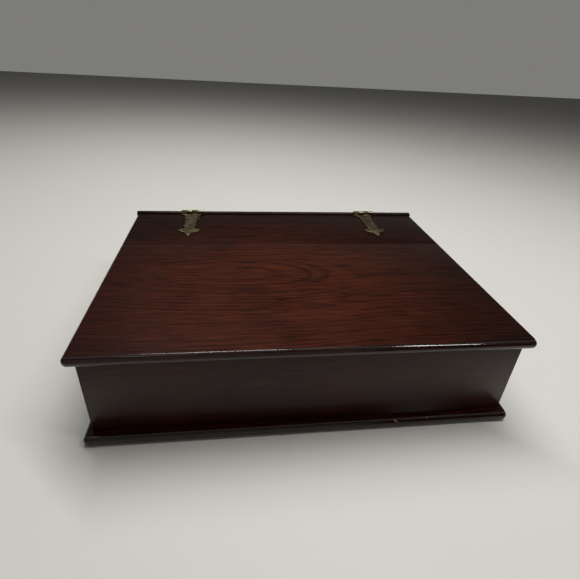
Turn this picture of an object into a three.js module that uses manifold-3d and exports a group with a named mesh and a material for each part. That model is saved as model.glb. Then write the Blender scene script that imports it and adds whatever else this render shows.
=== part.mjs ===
// Flat-lidded wooden keepsake case with two surface-mounted spear strap hinges.
// Millimetres, +Z up, the front faces -Y. The origin is the centre of the footprint on the table.
import * as THREE from "three";
import { mergeVertices } from "three/addons/utils/BufferGeometryUtils.js";
import Module from "manifold-3d";

const wasm = await Module();
wasm.setup();

// Overall size: the lid and the base board share one outline, and the walls stand in from it.
const CASE_WIDTH = 413;
const CASE_DEPTH = 333.4;
const CASE_HEIGHT = 101.6;
const LID_THICKNESS = 9.5;
const BASE_THICKNESS = 10.7;
const WALL_THICKNESS = 9.5;
const SIDE_OVERHANG = 7.9;
const FRONT_OVERHANG = 9.7;
const LID_SETBACK = 1.2;
const LID_CLEARANCE = 0.3;

// Moulded edge of the lid and the base board: a bullnose below a small square step.
const NOSE_STEP = 0.8;
const NOSE_FLAT = 0.1;
const LAND_INSET = 2.6;
const NOSE_SEGMENTS = 5;
const CORNER_RADIUS = 5.4;
const CORNER_SEGMENTS = 4;

// The top is two glued boards that open, and a narrow fixed rail that carries the hinges.
// The rail is thicker than the lid, so that its rounded top stands proud of it.
const RAIL_DEPTH = 10.2;
const RAIL_RISE = 2.4;
const GLUE_LINE_FROM_FRONT = 215.5;
const HINGE_LINE_GAP = 0.8;
const LID_ARRIS = 1;
const RAIL_FRONT_ARRIS = 2.4;
const RAIL_BACK_ARRIS = 5.4;
const RAIL_END_ARRIS = 0.8;
const ARRIS_SEGMENTS = 5;

// Hinges: a knuckled barrel above the hinge line and two spear-ended leaves.
const HINGE_SITES = [-128, 129.4];
const LEAF_THICKNESS = 1.4;
const LEAF_BEND_RADIUS = 5.2;
const LEAF_BEND_STEPS = 8;
const BARREL_RADIUS = 3;
const BARREL_LIFT = 0.1;
const BARREL_LENGTH = 30.4;
const KNUCKLES = 4;
const KNUCKLE_GAP = 0.3;
const NOTCH_DEPTH = 3.6;
const BARREL_RELIEF = 0.25;
const BARREL_SIDES = 24;
const BORE_RADIUS = 1.25;
const PIN_RADIUS = 1.15;
const PIN_OVERHANG = 0.5;
const PIN_CHAMFER = 0.35;

// Leaf outline: half widths, and their distances from the hinge axis.
const SHOULDER = BARREL_LENGTH / 2 - KNUCKLE_GAP / 2;
const SHOULDER_END = 1.5;
const NECK = 8.5;
const NECK_START = 14;
const NECK_END = 19;
const WAIST = 7;
const WAIST_AT = 41;
const SPUR = 8.8;
const SPUR_AT = 48.3;
const NOTCH = 6.3;
const NOTCH_AT = 51.6;
const NOTCH_END = 55.4;
const BARB = 14.1;
const BARB_AT = 60.2;
const THROAT = 6;
const THROAT_AT = 69.8;
const LEAF_LENGTH = 83.6;
const LEAF_CURVE_STEPS = 4;

// Countersunk oval-head wood screws.
const SCREW_HEAD_RADIUS = 2.5;
const SCREW_DOME = 0.6;
const SCREW_SINK = 1;
const SCREW_SHANK_RADIUS = 1.2;
const SCREW_LENGTH = 8.2;
const SCREW_POINT = 1.6;
const SCREW_SIDES = 16;
const SCREW_CLEARANCE = 0.15;
const SLOT_WIDTH = 0.7;
const SLOT_DEPTH = 0.5;
const LID_SCREWS_FROM_AXIS = [11.5, 60];
const BACK_SCREWS_FROM_AXIS = [32, 60];

// Heights and stations that follow from the sizes above.
const BACK_PROUD = LEAF_THICKNESS + SCREW_DOME;
const FRONT_Y = -(CASE_DEPTH + BACK_PROUD) / 2;
const BACK_Y = FRONT_Y + CASE_DEPTH;
const HINGE_Y = BACK_Y - RAIL_DEPTH;
const GLUE_Y = FRONT_Y + GLUE_LINE_FROM_FRONT;
const LID_BOTTOM = CASE_HEIGHT - LID_THICKNESS;
const WALL_TOP = LID_BOTTOM - LID_CLEARANCE;
const WALL_HALF_WIDTH = CASE_WIDTH / 2 - SIDE_OVERHANG;
const WALL_FRONT_Y = FRONT_Y + FRONT_OVERHANG;
const AXIS_Z = CASE_HEIGHT + BARREL_RADIUS + BARREL_LIFT;
const LEAF_TOP = CASE_HEIGHT + LEAF_THICKNESS;
const RAIL_TOP = CASE_HEIGHT + RAIL_RISE;

// The rear leaf runs level to the bend, round it, and down the back of the case.
const BEND_START = RAIL_DEPTH - LEAF_BEND_RADIUS;
const BEND_LINE = LEAF_BEND_RADIUS + LEAF_THICKNESS / 2;
const BEND_END = BEND_START + (Math.PI / 2) * BEND_LINE;
const BEND_FOOT_Z = RAIL_TOP - LEAF_BEND_RADIUS;
const REACH = 1000;

const WOOD_LID = { color: 0x3a1d18, roughness: 0.3, metalness: 0 };
const WOOD_CASE = { color: 0x2e1b1a, roughness: 0.32, metalness: 0 };
const BRASS = { color: 0x6b5d40, roughness: 0.42, metalness: 1 };
const SCREW_METAL = { color: 0x3c3223, roughness: 0.5, metalness: 1 };

// A closed three.js geometry as a manifold solid, and back.
function toSolid(geometry) {
  const bare = geometry.index ? geometry.toNonIndexed() : geometry.clone();
  bare.deleteAttribute("normal");
  bare.deleteAttribute("uv");
  const merged = mergeVertices(bare, 1e-4);
  const index = merged.index.array;
  const triangles = [];
  for (let i = 0; i < index.length; i += 3) {
    const [a, b, c] = [index[i], index[i + 1], index[i + 2]];
    if (a !== b && b !== c && c !== a) triangles.push(a, b, c);
  }
  return new wasm.Manifold(
    new wasm.Mesh({
      numProp: 3,
      vertProperties: merged.attributes.position.array,
      triVerts: new Uint32Array(triangles),
    }),
  );
}

function toGeometry(solid) {
  const mesh = solid.getMesh();
  const geometry = new THREE.BufferGeometry();
  geometry.setAttribute("position", new THREE.BufferAttribute(mesh.vertProperties, 3));
  geometry.setIndex(new THREE.BufferAttribute(mesh.triVerts, 1));
  geometry.computeVertexNormals();
  return geometry;
}

function block(xRange, yRange, zRange) {
  const spans = [xRange, yRange, zRange];
  const size = spans.map(([low, high]) => high - low);
  const middle = spans.map(([low, high]) => (low + high) / 2);
  return toSolid(new THREE.BoxGeometry(...size).translate(...middle));
}

// A shape drawn in the Y-Z plane, swept from one X to another.
function sweepAlongX(shape, xLow, xHigh, curveSegments) {
  const turn = new THREE.Matrix4().makeBasis(
    new THREE.Vector3(0, 1, 0),
    new THREE.Vector3(0, 0, 1),
    new THREE.Vector3(1, 0, 0),
  );
  const options = { depth: xHigh - xLow, bevelEnabled: false, curveSegments };
  const geometry = new THREE.ExtrudeGeometry(shape, options);
  return toSolid(geometry.applyMatrix4(turn).translate(xLow, 0, 0));
}

// A shape drawn in plan, raised from one height to another.
function raise(shape, zLow, zHigh) {
  const options = { depth: zHigh - zLow, bevelEnabled: false, curveSegments: CORNER_SEGMENTS };
  return toSolid(new THREE.ExtrudeGeometry(shape, options).translate(0, 0, zLow));
}

function roundedOutline(inset, frontY, backY) {
  const half = CASE_WIDTH / 2 - inset;
  const low = frontY + inset;
  const high = backY - inset;
  const radius = CORNER_RADIUS - inset;
  const shape = new THREE.Shape();
  shape.moveTo(-half + radius, low);
  shape.lineTo(half - radius, low);
  shape.absarc(half - radius, low + radius, radius, -Math.PI / 2, 0, false);
  shape.lineTo(half, high - radius);
  shape.absarc(half - radius, high - radius, radius, 0, Math.PI / 2, false);
  shape.lineTo(-half + radius, high);
  shape.absarc(-half + radius, high - radius, radius, Math.PI / 2, Math.PI, false);
  shape.lineTo(-half, low + radius);
  shape.absarc(-half + radius, low + radius, radius, Math.PI, 1.5 * Math.PI, false);
  return shape;
}

// A board with the moulded edge all round; it runs past the back, where it is sawn off square.
function mouldedBoard(bottom, thickness, frontY) {
  const nose = (thickness - NOSE_STEP - NOSE_FLAT) / 2;
  const backY = BACK_Y + 2 * CORNER_RADIUS;
  const edge = new THREE.ExtrudeGeometry(roundedOutline(nose, frontY, backY), {
    depth: NOSE_FLAT,
    bevelEnabled: true,
    bevelThickness: nose,
    bevelSize: nose,
    bevelSegments: NOSE_SEGMENTS,
    curveSegments: CORNER_SEGMENTS,
  });
  const land = raise(roundedOutline(LAND_INSET, frontY, backY), bottom + nose, bottom + thickness);
  return toSolid(edge.translate(0, 0, bottom + nose)).add(land);
}

function sawnBetween(solid, yLow, yHigh) {
  return solid.intersect(block([-REACH, REACH], [yLow, yHigh], [-REACH, REACH]));
}

// Screws: one profile, turned about its own axis, with the head's underside at height 0.
function screwProfile(grow) {
  const head = SCREW_HEAD_RADIUS + grow;
  const shank = SCREW_SHANK_RADIUS + grow;
  return [
    new THREE.Vector2(0, -SCREW_LENGTH - grow),
    new THREE.Vector2(shank, -SCREW_LENGTH + SCREW_POINT),
    new THREE.Vector2(shank, -SCREW_SINK - grow),
    new THREE.Vector2(head, 0),
    new THREE.Vector2(0.66 * head, 0.72 * SCREW_DOME),
    new THREE.Vector2(0, SCREW_DOME + grow),
  ];
}

// Puts a solid that was made along +Y in its place: its head faces up, or out of the back.
function place(geometry, seat) {
  const turned = geometry.clone().rotateY(seat.clocking);
  if (seat.facesUp) turned.rotateX(Math.PI / 2);
  return toSolid(turned.translate(seat.x, seat.y, seat.z));
}

function screw(seat) {
  const body = new THREE.LatheGeometry(screwProfile(0), SCREW_SIDES);
  const slotLength = 3 * SCREW_HEAD_RADIUS;
  const slot = new THREE.BoxGeometry(slotLength, 2 * SLOT_DEPTH, SLOT_WIDTH);
  return place(body, seat).subtract(place(slot.translate(0, SCREW_DOME, 0), seat));
}

function screwHole(seat) {
  return place(new THREE.LatheGeometry(screwProfile(SCREW_CLEARANCE), SCREW_SIDES), seat);
}

// Half width against distance from the hinge axis: shoulder, neck, waist, spur, notch, barb, point.
function leafHalfOutline() {
  const path = new THREE.Path();
  path.moveTo(SHOULDER, 0);
  path.lineTo(SHOULDER, SHOULDER_END);
  path.bezierCurveTo(SHOULDER - 2.6, 5, NECK + 0.9, 8.5, NECK, NECK_START);
  path.lineTo(NECK, NECK_END);
  path.lineTo(WAIST, WAIST_AT);
  path.quadraticCurveTo(WAIST, SPUR_AT - 3, SPUR, SPUR_AT);
  path.quadraticCurveTo(NOTCH + 0.6, SPUR_AT + 1.5, NOTCH, NOTCH_AT);
  path.quadraticCurveTo(NOTCH - 0.8, NOTCH_AT + 2, NOTCH, NOTCH_END);
  path.quadraticCurveTo(NOTCH + 2.5, NOTCH_END + 2.2, BARB, BARB_AT);
  path.bezierCurveTo(BARB - 0.2, BARB_AT + 4.4, BARB - 2.7, THROAT_AT - 0.4, THROAT, THROAT_AT);
  path.bezierCurveTo(THROAT - 1.9, THROAT_AT + 1.6, THROAT - 3.2, LEAF_LENGTH - 6, 0, LEAF_LENGTH);
  return path.getPoints(LEAF_CURVE_STEPS);
}

// The outline as a plan shape; forward is -1 towards the front and 1 towards the back.
function leafShape(centreX, startY, forward) {
  const half = leafHalfOutline();
  const right = half.map((p) => new THREE.Vector2(centreX + p.x, startY + forward * p.y));
  const left = half.slice(0, -1).reverse();
  const mirrored = left.map((p) => new THREE.Vector2(centreX - p.x, startY + forward * p.y));
  return new THREE.Shape([...right, ...mirrored]);
}

function knuckleSpan(centreX, number) {
  const pitch = BARREL_LENGTH / KNUCKLES;
  const low = centreX - BARREL_LENGTH / 2 + number * pitch;
  return [low + KNUCKLE_GAP / 2, low + pitch - KNUCKLE_GAP / 2];
}

function barrelRound(radius, [xLow, xHigh]) {
  const round = new THREE.CylinderGeometry(radius, radius, xHigh - xLow, BARREL_SIDES);
  return toSolid(round.rotateZ(Math.PI / 2).translate((xLow + xHigh) / 2, HINGE_Y, AXIS_Z));
}

// Adds the leaf's own knuckles, bores them, and notches the leaf round the other leaf's.
function withKnuckles(plate, centreX, own, forward) {
  let leaf = plate;
  const notchY = [HINGE_Y - forward, HINGE_Y + forward * NOTCH_DEPTH].sort((a, b) => a - b);
  const notchZ = [CASE_HEIGHT - 1, AXIS_Z + BARREL_RADIUS];
  for (let number = 0; number < KNUCKLES; number += 1) {
    const span = knuckleSpan(centreX, number);
    if (own.includes(number)) {
      leaf = leaf.add(barrelRound(BARREL_RADIUS, span));
    } else {
      const notchX = [span[0] - KNUCKLE_GAP, span[1] + KNUCKLE_GAP];
      if (number === 0) notchX[0] -= 1;
      if (number === KNUCKLES - 1) notchX[1] += 1;
      leaf = leaf.subtract(block(notchX, notchY, notchZ));
    }
  }
  return leaf.subtract(barrelRound(BORE_RADIUS, [centreX - BARREL_LENGTH, centreX + BARREL_LENGTH]));
}

function lidLeaf(centreX, seats) {
  const plate = raise(leafShape(centreX, HINGE_Y, -1), CASE_HEIGHT, LEAF_TOP);
  let leaf = withKnuckles(plate, centreX, [0, 2], -1);
  for (const seat of seats) leaf = leaf.subtract(screwHole(seat));
  return leaf;
}

// How far back a point of the leaf lies once the leaf is wrapped over the rail.
function wrapped(distance) {
  if (distance <= BEND_START) return distance;
  const turn = Math.min((distance - BEND_START) / BEND_LINE, Math.PI / 2);
  return BEND_START + BEND_LINE * Math.sin(turn);
}

// Half width of the leaf at a distance from the hinge axis.
function halfWidthAt(distance) {
  const half = leafHalfOutline();
  const next = half.findIndex((p) => p.y >= distance);
  const [a, b] = [half[next - 1], half[next]];
  return a.x + ((b.x - a.x) * (distance - a.y)) / (b.y - a.y);
}

// Plan of the leaf's level part and bend, with its edges foreshortened round the bend.
function overRailShape(centreX) {
  const right = [new THREE.Vector2(SHOULDER, 0), new THREE.Vector2(SHOULDER, SHOULDER_END)];
  const stations = 2 * LEAF_BEND_STEPS;
  for (let i = 1; i <= stations; i += 1) {
    const distance = SHOULDER_END + ((BEND_END - SHOULDER_END) * i) / stations;
    right.push(new THREE.Vector2(halfWidthAt(distance), wrapped(distance)));
  }
  right.push(new THREE.Vector2(halfWidthAt(BEND_END), RAIL_DEPTH + 2 * LEAF_THICKNESS));
  const left = right.map((p) => new THREE.Vector2(-p.x, p.y)).reverse();
  const place = new THREE.Vector2(centreX, HINGE_Y);
  return new THREE.Shape([...right, ...left].map((p) => p.clone().add(place)));
}

// The rear leaf lies on the rail, bends over its rounded back and runs down the back of the case.
function backLeaf(centreX, seats) {
  const inner = LEAF_BEND_RADIUS;
  const outer = LEAF_BEND_RADIUS + LEAF_THICKNESS;
  const bendY = BACK_Y - inner;
  const strip = new THREE.Shape();
  strip.moveTo(HINGE_Y, RAIL_TOP);
  strip.lineTo(bendY, RAIL_TOP);
  strip.absarc(bendY, BEND_FOOT_Z, inner, Math.PI / 2, 0, true);
  strip.lineTo(BACK_Y, BASE_THICKNESS);
  strip.lineTo(BACK_Y + LEAF_THICKNESS, BASE_THICKNESS);
  strip.lineTo(BACK_Y + LEAF_THICKNESS, BEND_FOOT_Z);
  strip.absarc(bendY, BEND_FOOT_Z, outer, 0, Math.PI / 2, false);
  strip.lineTo(HINGE_Y, RAIL_TOP + LEAF_THICKNESS);
  const ribbon = sweepAlongX(strip, centreX - BARREL_LENGTH, centreX + BARREL_LENGTH, LEAF_BEND_STEPS);
  const upper = raise(overRailShape(centreX), BEND_FOOT_Z, RAIL_TOP + 2 * LEAF_THICKNESS);
  const turn = new THREE.Matrix4().makeBasis(
    new THREE.Vector3(1, 0, 0),
    new THREE.Vector3(0, 0, 1),
    new THREE.Vector3(0, -1, 0),
  );
  const plan = leafShape(centreX, -(BEND_FOOT_Z + BEND_END), 1);
  const hanging = new THREE.ExtrudeGeometry(mirroredUp(plan), { depth: RAIL_DEPTH, bevelEnabled: false });
  const downBack = toSolid(hanging.applyMatrix4(turn).translate(0, BACK_Y + RAIL_DEPTH / 2, 0));
  const lower = downBack.intersect(block([-REACH, REACH], [-REACH, REACH], [0, BEND_FOOT_Z]));
  let leaf = withKnuckles(ribbon.intersect(upper.add(lower)), centreX, [1, 3], 1);
  for (const seat of seats) leaf = leaf.subtract(screwHole(seat));
  return leaf;
}

// A leaf shape whose distances run downwards, as a shape in the X-Z plane.
function mirroredUp(shape) {
  return new THREE.Shape(shape.getPoints().map((p) => new THREE.Vector2(p.x, -p.y)).reverse());
}

function pin(centreX) {
  const half = BARREL_LENGTH / 2 + PIN_OVERHANG;
  const profile = [
    new THREE.Vector2(0, -half),
    new THREE.Vector2(PIN_RADIUS - PIN_CHAMFER, -half),
    new THREE.Vector2(PIN_RADIUS, -half + PIN_CHAMFER),
    new THREE.Vector2(PIN_RADIUS, half - PIN_CHAMFER),
    new THREE.Vector2(PIN_RADIUS - PIN_CHAMFER, half),
    new THREE.Vector2(0, half),
  ];
  const round = new THREE.LatheGeometry(profile, SCREW_SIDES);
  return toSolid(round.rotateZ(Math.PI / 2).translate(centreX, HINGE_Y, AXIS_Z));
}

// A wall between two mitred ends, drawn in plan as a trapezium.
function wall(corners) {
  const plan = new THREE.Shape(corners.map(([x, y]) => new THREE.Vector2(x, y)));
  return raise(plan, BASE_THICKNESS, WALL_TOP);
}

const group = new THREE.Group();

function addPart(name, solid, look) {
  const mesh = new THREE.Mesh(toGeometry(solid), new THREE.MeshStandardMaterial(look));
  mesh.name = name;
  group.add(mesh);
}

// Where the screws of both hinges sit.
const hinges = ["left", "right"].map((side, i) => {
  const x = HINGE_SITES[i];
  const lidSeats = LID_SCREWS_FROM_AXIS.map((distance, k) => ({
    x,
    y: HINGE_Y - distance,
    z: LEAF_TOP,
    facesUp: true,
    clocking: 0.7 + 1.1 * k + 0.6 * i,
  }));
  const backSeats = BACK_SCREWS_FROM_AXIS.map((distance, k) => ({
    x,
    y: BACK_Y + LEAF_THICKNESS,
    z: BEND_FOOT_Z + BEND_END - distance,
    facesUp: false,
    clocking: 0.3 + 0.8 * k + 0.9 * i,
  }));
  return { side, x, lidSeats, backSeats };
});

// The case: base board, four mitred walls and the fixed hinge rail.
addPart("base_board", sawnBetween(mouldedBoard(0, BASE_THICKNESS, FRONT_Y), FRONT_Y - 1, BACK_Y), WOOD_CASE);

const [outX, inX] = [WALL_HALF_WIDTH, WALL_HALF_WIDTH - WALL_THICKNESS];
const [frontOut, frontIn] = [WALL_FRONT_Y, WALL_FRONT_Y + WALL_THICKNESS];
const [backOut, backIn] = [BACK_Y, BACK_Y - WALL_THICKNESS];
const frontPanel = wall([[-outX, frontOut], [outX, frontOut], [inX, frontIn], [-inX, frontIn]]);
const leftPanel = wall([[-outX, frontOut], [-inX, frontIn], [-inX, backIn], [-outX, backOut]]);
const rightPanel = wall([[inX, frontIn], [outX, frontOut], [outX, backOut], [inX, backIn]]);
addPart("front_panel", frontPanel, WOOD_CASE);
addPart("left_panel", leftPanel, WOOD_CASE);
addPart("right_panel", rightPanel, WOOD_CASE);

let backPanel = wall([[-inX, backIn], [inX, backIn], [outX, backOut], [-outX, backOut]]);
for (const hinge of hinges) {
  for (const seat of hinge.backSeats) backPanel = backPanel.subtract(screwHole(seat));
}
addPart("back_panel", backPanel, WOOD_CASE);

const railFront = HINGE_Y + HINGE_LINE_GAP / 2;
const railFrontCurve = railFront + RAIL_FRONT_ARRIS;
const railBackCurve = BACK_Y - RAIL_BACK_ARRIS;
const railShape = new THREE.Shape();
railShape.moveTo(railFront, WALL_TOP);
railShape.lineTo(BACK_Y, WALL_TOP);
railShape.lineTo(BACK_Y, RAIL_TOP - RAIL_BACK_ARRIS);
railShape.absarc(railBackCurve, RAIL_TOP - RAIL_BACK_ARRIS, RAIL_BACK_ARRIS, 0, Math.PI / 2, false);
railShape.lineTo(railFrontCurve, RAIL_TOP);
railShape.absarc(railFrontCurve, RAIL_TOP - RAIL_FRONT_ARRIS, RAIL_FRONT_ARRIS, Math.PI / 2, Math.PI, false);
let rail = sweepAlongX(railShape, -CASE_WIDTH / 2, CASE_WIDTH / 2, ARRIS_SEGMENTS);

// The rail's ends are eased along the top, and it is relieved under each barrel.
const railHalf = CASE_WIDTH / 2;
const easedEnd = new THREE.Shape();
easedEnd.moveTo(-railHalf, WALL_TOP);
easedEnd.lineTo(railHalf, WALL_TOP);
easedEnd.lineTo(railHalf, RAIL_TOP - RAIL_END_ARRIS);
easedEnd.lineTo(railHalf - RAIL_END_ARRIS, RAIL_TOP);
easedEnd.lineTo(-railHalf + RAIL_END_ARRIS, RAIL_TOP);
easedEnd.lineTo(-railHalf, RAIL_TOP - RAIL_END_ARRIS);
const easing = new THREE.ExtrudeGeometry(easedEnd, { depth: 2 * RAIL_DEPTH, bevelEnabled: false });
rail = rail.intersect(toSolid(easing.rotateX(Math.PI / 2).translate(0, BACK_Y + RAIL_DEPTH / 2, 0)));
for (const hinge of hinges) {
  const reach = BARREL_LENGTH / 2 + PIN_OVERHANG + BARREL_RELIEF;
  rail = rail.subtract(barrelRound(BARREL_RADIUS + BARREL_RELIEF, [hinge.x - reach, hinge.x + reach]));
}
addPart("back_rail", rail, WOOD_LID);

// The lid: two boards glued edge to edge.
const lidBack = HINGE_Y - HINGE_LINE_GAP / 2;
const lidShape = new THREE.Shape();
lidShape.moveTo(FRONT_Y - 1, LID_BOTTOM - 1);
lidShape.lineTo(lidBack, LID_BOTTOM - 1);
lidShape.lineTo(lidBack, CASE_HEIGHT - LID_ARRIS);
lidShape.absarc(lidBack - LID_ARRIS, CASE_HEIGHT - LID_ARRIS, LID_ARRIS, 0, Math.PI / 2, false);
lidShape.lineTo(FRONT_Y - 1, CASE_HEIGHT);
const lidSweep = sweepAlongX(lidShape, -CASE_WIDTH, CASE_WIDTH, ARRIS_SEGMENTS);
const lidBlank = mouldedBoard(LID_BOTTOM, LID_THICKNESS, FRONT_Y + LID_SETBACK).intersect(lidSweep);
addPart("lid_board_front", sawnBetween(lidBlank, FRONT_Y - 1, GLUE_Y), WOOD_LID);

let lidBoardBack = sawnBetween(lidBlank, GLUE_Y, BACK_Y);
for (const hinge of hinges) {
  for (const seat of hinge.lidSeats) lidBoardBack = lidBoardBack.subtract(screwHole(seat));
}
addPart("lid_board_back", lidBoardBack, WOOD_LID);

// The hinges, each with its pin and four screws.
for (const { side, x, lidSeats, backSeats } of hinges) {
  addPart(`${side}_hinge_lid_leaf`, lidLeaf(x, lidSeats), BRASS);
  addPart(`${side}_hinge_back_leaf`, backLeaf(x, backSeats), BRASS);
  addPart(`${side}_hinge_pin`, pin(x), BRASS);
  lidSeats.forEach((seat, k) => addPart(`${side}_lid_screw_${k + 1}`, screw(seat), SCREW_METAL));
  backSeats.forEach((seat, k) => addPart(`${side}_back_screw_${k + 1}`, screw(seat), SCREW_METAL));
}

export default group;
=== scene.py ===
"""Looks for the flat-lidded wooden keepsake case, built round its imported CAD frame."""
import math
from typing import NamedTuple

import bmesh
import bpy
from mathutils import Matrix, Vector


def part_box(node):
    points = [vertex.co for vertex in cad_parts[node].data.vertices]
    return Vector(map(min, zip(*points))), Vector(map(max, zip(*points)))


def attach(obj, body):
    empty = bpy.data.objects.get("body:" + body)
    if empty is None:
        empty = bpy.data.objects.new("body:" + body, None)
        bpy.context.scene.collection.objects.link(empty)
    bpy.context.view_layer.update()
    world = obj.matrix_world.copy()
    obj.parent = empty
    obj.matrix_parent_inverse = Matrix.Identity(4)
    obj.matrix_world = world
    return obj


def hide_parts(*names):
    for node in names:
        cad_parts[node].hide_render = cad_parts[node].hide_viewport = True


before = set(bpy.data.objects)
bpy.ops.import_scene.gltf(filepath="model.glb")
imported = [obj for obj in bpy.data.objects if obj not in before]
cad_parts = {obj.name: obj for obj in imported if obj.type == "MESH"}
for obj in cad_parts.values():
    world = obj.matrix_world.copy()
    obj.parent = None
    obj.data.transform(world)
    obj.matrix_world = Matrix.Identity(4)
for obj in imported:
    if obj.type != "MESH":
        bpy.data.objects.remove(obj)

SCENE = bpy.context.scene
MM = 0.001
QUARTER = 0.5 * math.pi
X, Y, Z = 0, 1, 2
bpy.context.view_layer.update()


def middle_of(node, axis):
    """The middle of a node's box along one axis."""
    low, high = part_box(node)
    return (low[axis] + high[axis]) / 2


# ---------------------------------------------------------------- places taken from the CAD nodes

LID_LOW, LID_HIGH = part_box("lid_board_front")
RAIL_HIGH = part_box("back_rail")[1]
HALF_WIDTH = LID_HIGH.x
LID_FRONT_Y = LID_LOW.y
LID_TOP = LID_HIGH.z
BASE_FRONT_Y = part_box("base_board")[0].y
BACK_Y = RAIL_HIGH.y
RISE = RAIL_HIGH.z - LID_TOP
HINGE_Y = middle_of("left_hinge_pin", Y)
AXIS_Z = middle_of("left_hinge_pin", Z)

# ---------------------------------------------------------------- camera

CAM_AT = Vector((-0.068425, LID_FRONT_Y - 0.265696, 0.320221))
CAM_PITCH = 0.532539
CAM_YAW = 0.154305
CAM_ROLL = 0.060596
CAM_LENS = 25.528
CAM_SENSOR = 36.0
CAM_NEAR = 10 * MM


def make_camera():
    forward = Vector((
        math.sin(CAM_YAW) * math.cos(CAM_PITCH),
        math.cos(CAM_YAW) * math.cos(CAM_PITCH),
        -math.sin(CAM_PITCH),
    ))
    level = forward.cross(Vector((0, 0, 1))).normalized()
    upright = level.cross(forward)
    right = math.cos(CAM_ROLL) * level + math.sin(CAM_ROLL) * upright
    up = -math.sin(CAM_ROLL) * level + math.cos(CAM_ROLL) * upright
    data = bpy.data.cameras.new("camera")
    data.sensor_width = CAM_SENSOR
    data.lens = CAM_LENS
    data.clip_start = CAM_NEAR
    camera = bpy.data.objects.new("camera", data)
    axes = Matrix((right, up, -forward)).transposed()
    camera.matrix_world = Matrix.Translation(CAM_AT) @ axes.to_4x4()
    SCENE.collection.objects.link(camera)
    SCENE.camera = camera


# ---------------------------------------------------------------- shader graphs


class Graph:
    """A material's node tree, built with short calls. A socket in place of a value is linked."""

    def __init__(self, name):
        self.material = bpy.data.materials.new(name)
        self.material.use_nodes = True
        self.tree = self.material.node_tree
        self.tree.nodes.clear()
        self.output = self.tree.nodes.new("ShaderNodeOutputMaterial")

    def node(self, kind, inputs=None, **settings):
        made = self.tree.nodes.new(kind)
        for key, value in settings.items():
            setattr(made, key, value)
        for key, value in (inputs or {}).items():
            self.feed(made.inputs[key], value)
        return made

    def feed(self, socket, value):
        if isinstance(value, bpy.types.NodeSocket):
            self.tree.links.new(value, socket)
        else:
            socket.default_value = value

    def math(self, operation, *values, clamp=False):
        made = self.tree.nodes.new("ShaderNodeMath")
        made.operation = operation
        made.use_clamp = clamp
        for socket, value in zip(made.inputs, values):
            self.feed(socket, value)
        return made.outputs[0]

    def plus(self, a, b):
        return self.math("ADD", a, b)

    def minus(self, a, b):
        return self.math("SUBTRACT", a, b)

    def times(self, a, b):
        return self.math("MULTIPLY", a, b)

    def over(self, a, b):
        return self.math("DIVIDE", a, b)

    def size(self, a):
        return self.math("ABSOLUTE", a)

    def times_plus(self, a, b, c):
        return self.math("MULTIPLY_ADD", a, b, c)

    def sway(self, noise, gain, base):
        """base, moved by gain times the noise's distance from its middle value."""
        return self.times_plus(self.minus(noise, 0.5), gain, base)

    def hypot(self, a, b):
        return self.math("SQRT", self.plus(self.times(a, a), self.times(b, b)))

    def span(self, value, low, high, to_low=0.0, to_high=1.0):
        made = self.node("ShaderNodeMapRange", interpolation_type="SMOOTHSTEP")
        for key, number in enumerate((value, low, high, to_low, to_high)):
            self.feed(made.inputs[key], number)
        return made.outputs[0]

    def vector(self, x, y, z):
        return self.node("ShaderNodeCombineXYZ", {"X": x, "Y": y, "Z": z}).outputs[0]

    def noise(self, vector, scale=1.0, detail=2.0, roughness=0.5):
        sockets = {"Vector": vector, "Scale": scale, "Detail": detail, "Roughness": roughness}
        return self.node("ShaderNodeTexNoise", sockets).outputs["Fac"]

    def blend(self, amount, low, high, mode="MIX"):
        made = self.node("ShaderNodeMix", data_type="RGBA", blend_type=mode)
        self.feed(made.inputs[0], amount)
        self.feed(made.inputs[6], low)
        self.feed(made.inputs[7], high)
        return made.outputs[2]

    def bump(self, height, distance, strength):
        sockets = {"Height": height, "Distance": distance, "Strength": strength}
        return self.node("ShaderNodeBump", sockets).outputs[0]

    def shade(self, sockets):
        shader = self.node("ShaderNodeBsdfPrincipled", sockets)
        self.tree.links.new(shader.outputs[0], self.output.inputs["Surface"])
        return self.material


def rgb(red, green, blue, tone=1.0):
    return (red * tone, green * tone, blue * tone, 1.0)


# ---------------------------------------------------------------- wood

# Directions along the grain, across the face and into the board.
ALONG_X_FLAT = (X, Y, Z)
ALONG_X_UPRIGHT = (X, Z, Y)
ALONG_Y_UPRIGHT = (Y, Z, X)

# Noise waves per metre, along the grain and across it.
WAVE_SCALE = (5.0, 16.0)
RIPPLE_SCALE = (22.0, 90.0)
FADE_SCALE = (9.0, 40.0)
FIBRE_SCALE = (30.0, 640.0)
STREAK_SCALE = (9.0, 190.0)
PORE_SCALE = (110.0, 1300.0)

# The same, for noise that runs alike in every direction.
CLOUD_SCALE = 9.0
WORN_SCALE = 30.0
PEEL_SCALE = 260.0
UNEVEN_SCALE = 120.0

# How far the two slow noises bend the grain sideways.
WAVE = 16 * MM
RIPPLE = 3.5 * MM

# Square of the way along the board, in square metres, past which the rings run straight, and its easing.
REACH_LIMIT = 0.016
REACH_EASE = 0.012
INWARD_SLOPE = 0.3
UNEVEN_TURNS = 1.6

DARK_WOOD = (0.0085, 0.0019, 0.0013)
BRIGHT_WOOD = (0.094, 0.0195, 0.0076)
PORE_COLOUR = rgb(0.006, 0.0025, 0.002)
MARK_COLOUR = rgb(0.003, 0.0015, 0.0012)
CHIP_COLOUR = rgb(0.36, 0.22, 0.13)
# Dark rim along the boards' fronts and ends: stain at the edges, and painted shade along the moulding.
STAIN_AND_SHADE_COLOUR = rgb(0.005, 0.002, 0.0018)

# Painted pool of light on the lid: its colour is painted brightest here, within this reach, and painted
# darker away from it down to this share of its tone.
LIGHT_POOL_AT = (-0.03, LID_FRONT_Y + 0.10)
LIGHT_POOL_REACH = 0.22
LIGHT_POOL_LEAST = 0.28

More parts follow.
